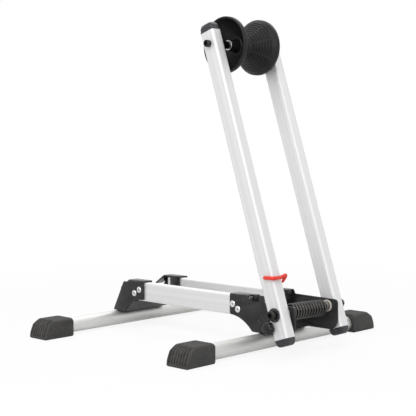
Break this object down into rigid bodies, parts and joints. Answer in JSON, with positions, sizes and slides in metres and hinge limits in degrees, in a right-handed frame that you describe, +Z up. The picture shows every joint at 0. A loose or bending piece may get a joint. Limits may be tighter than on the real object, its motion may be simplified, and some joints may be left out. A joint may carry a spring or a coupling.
{
  "type": "bicycle floor stand",
  "caption": "Folding floor stand for a bicycle: sprung arms with a V-shaped roller lean over a base of two floor tubes joined by rails, and the tyre rests in the roller.",
  "frame": {"origin": "on the floor, under the middle of the bounding box", "axes": "+X along the floor tubes to the side of the arms without the knob, +Y from the arms' axle towards the rear floor tube, +Z up"},
  "size_m": [0.4, 0.377, 0.4564],
  "materials": {
    "aluminium": "satin silver anodised",
    "steel": "bright zinc plate",
    "black_steel": "black oxide with a thin film of oil",
    "black_paint": "satin black powder coat",
    "black_plastic": "satin moulded",
    "natural_nylon": "natural nylon, as moulded",
    "knob_plastic": "glossy moulded",
    "rubber": "matt moulded",
    "red_coating": "dipped vinyl coating"
  },
  "bodies": {
    "base": {"front_floor_tube": "aluminium", "rear_floor_tube": "aluminium", "foot_front_left": "rubber", "foot_front_right": "rubber", "foot_rear_left": "rubber", "foot_rear_right": "rubber", "front_bracket": "black_paint", "rear_bracket": "black_paint", "left_rail": "aluminium", "right_rail": "aluminium", "left_rail_front_plug": "black_plastic", "left_rail_rear_plug": "black_plastic", "right_rail_front_plug": "black_plastic", "right_rail_rear_plug": "black_plastic", "front_left_rivet_1": "aluminium", "front_left_rivet_2": "aluminium", "rear_left_rivet_1": "aluminium", "rear_left_rivet_2": "aluminium", "front_right_rivet_1": "aluminium", "front_right_rivet_2": "aluminium", "rear_right_rivet_1": "aluminium", "rear_right_rivet_2": "aluminium", "front_left_screw": "steel", "front_right_screw": "steel", "rear_left_screw": "steel", "rear_right_screw": "steel", "left_axle_bush": "natural_nylon", "right_axle_bush": "natural_nylon", "torsion_spring": "black_steel"},
    "arms": {"left_arm": "aluminium", "right_arm": "aluminium", "left_arm_bottom_cap": "black_plastic", "left_arm_top_cap": "black_plastic", "right_arm_bottom_cap": "black_plastic", "right_arm_top_cap": "black_plastic", "axle_screw": "black_steel", "axle_sleeve": "steel", "axle_left_washer": "black_plastic", "axle_right_washer": "steel", "axle_nut": "black_steel", "roller_screw": "black_steel", "roller_sleeve": "steel", "left_roller_spacer": "steel", "right_roller_spacer": "steel", "roller_nut": "black_steel"},
    "roller": {"left_roller_cone": "black_plastic", "right_roller_cone": "black_plastic"},
    "latch": {"latch_hook": "red_coating"},
    "knob": {"stop_knob": "knob_plastic", "stop_screw": "steel"}
  },
  "joints": [
    {"name": "arm_fold", "type": "hinge", "parent": "base", "child": "arms", "pos_m": [0, -0.16557, 0.0562], "axis": [-1, 0, 0], "range_deg": [0, 72], "stiffness_Nm_per_rad": 2.7, "springref_deg": -14.32},
    {"name": "roller_spin", "type": "hinge", "parent": "arms", "child": "roller", "pos_m": [0, -0.0483, 0.41713], "axis": [1, 0, 0], "continuous": true},
    {"name": "latch_swivel", "type": "hinge", "parent": "arms", "child": "latch", "pos_m": [0, -0.1499, 0.10442], "axis": [1, 0, 0], "range_deg": [-20, 0]},
    {"name": "knob_turn", "type": "hinge", "parent": "base", "child": "knob", "pos_m": [0, -0.15699, 0.03764], "axis": [1, 0, 0], "range_deg": [0, 720]}
  ]
}
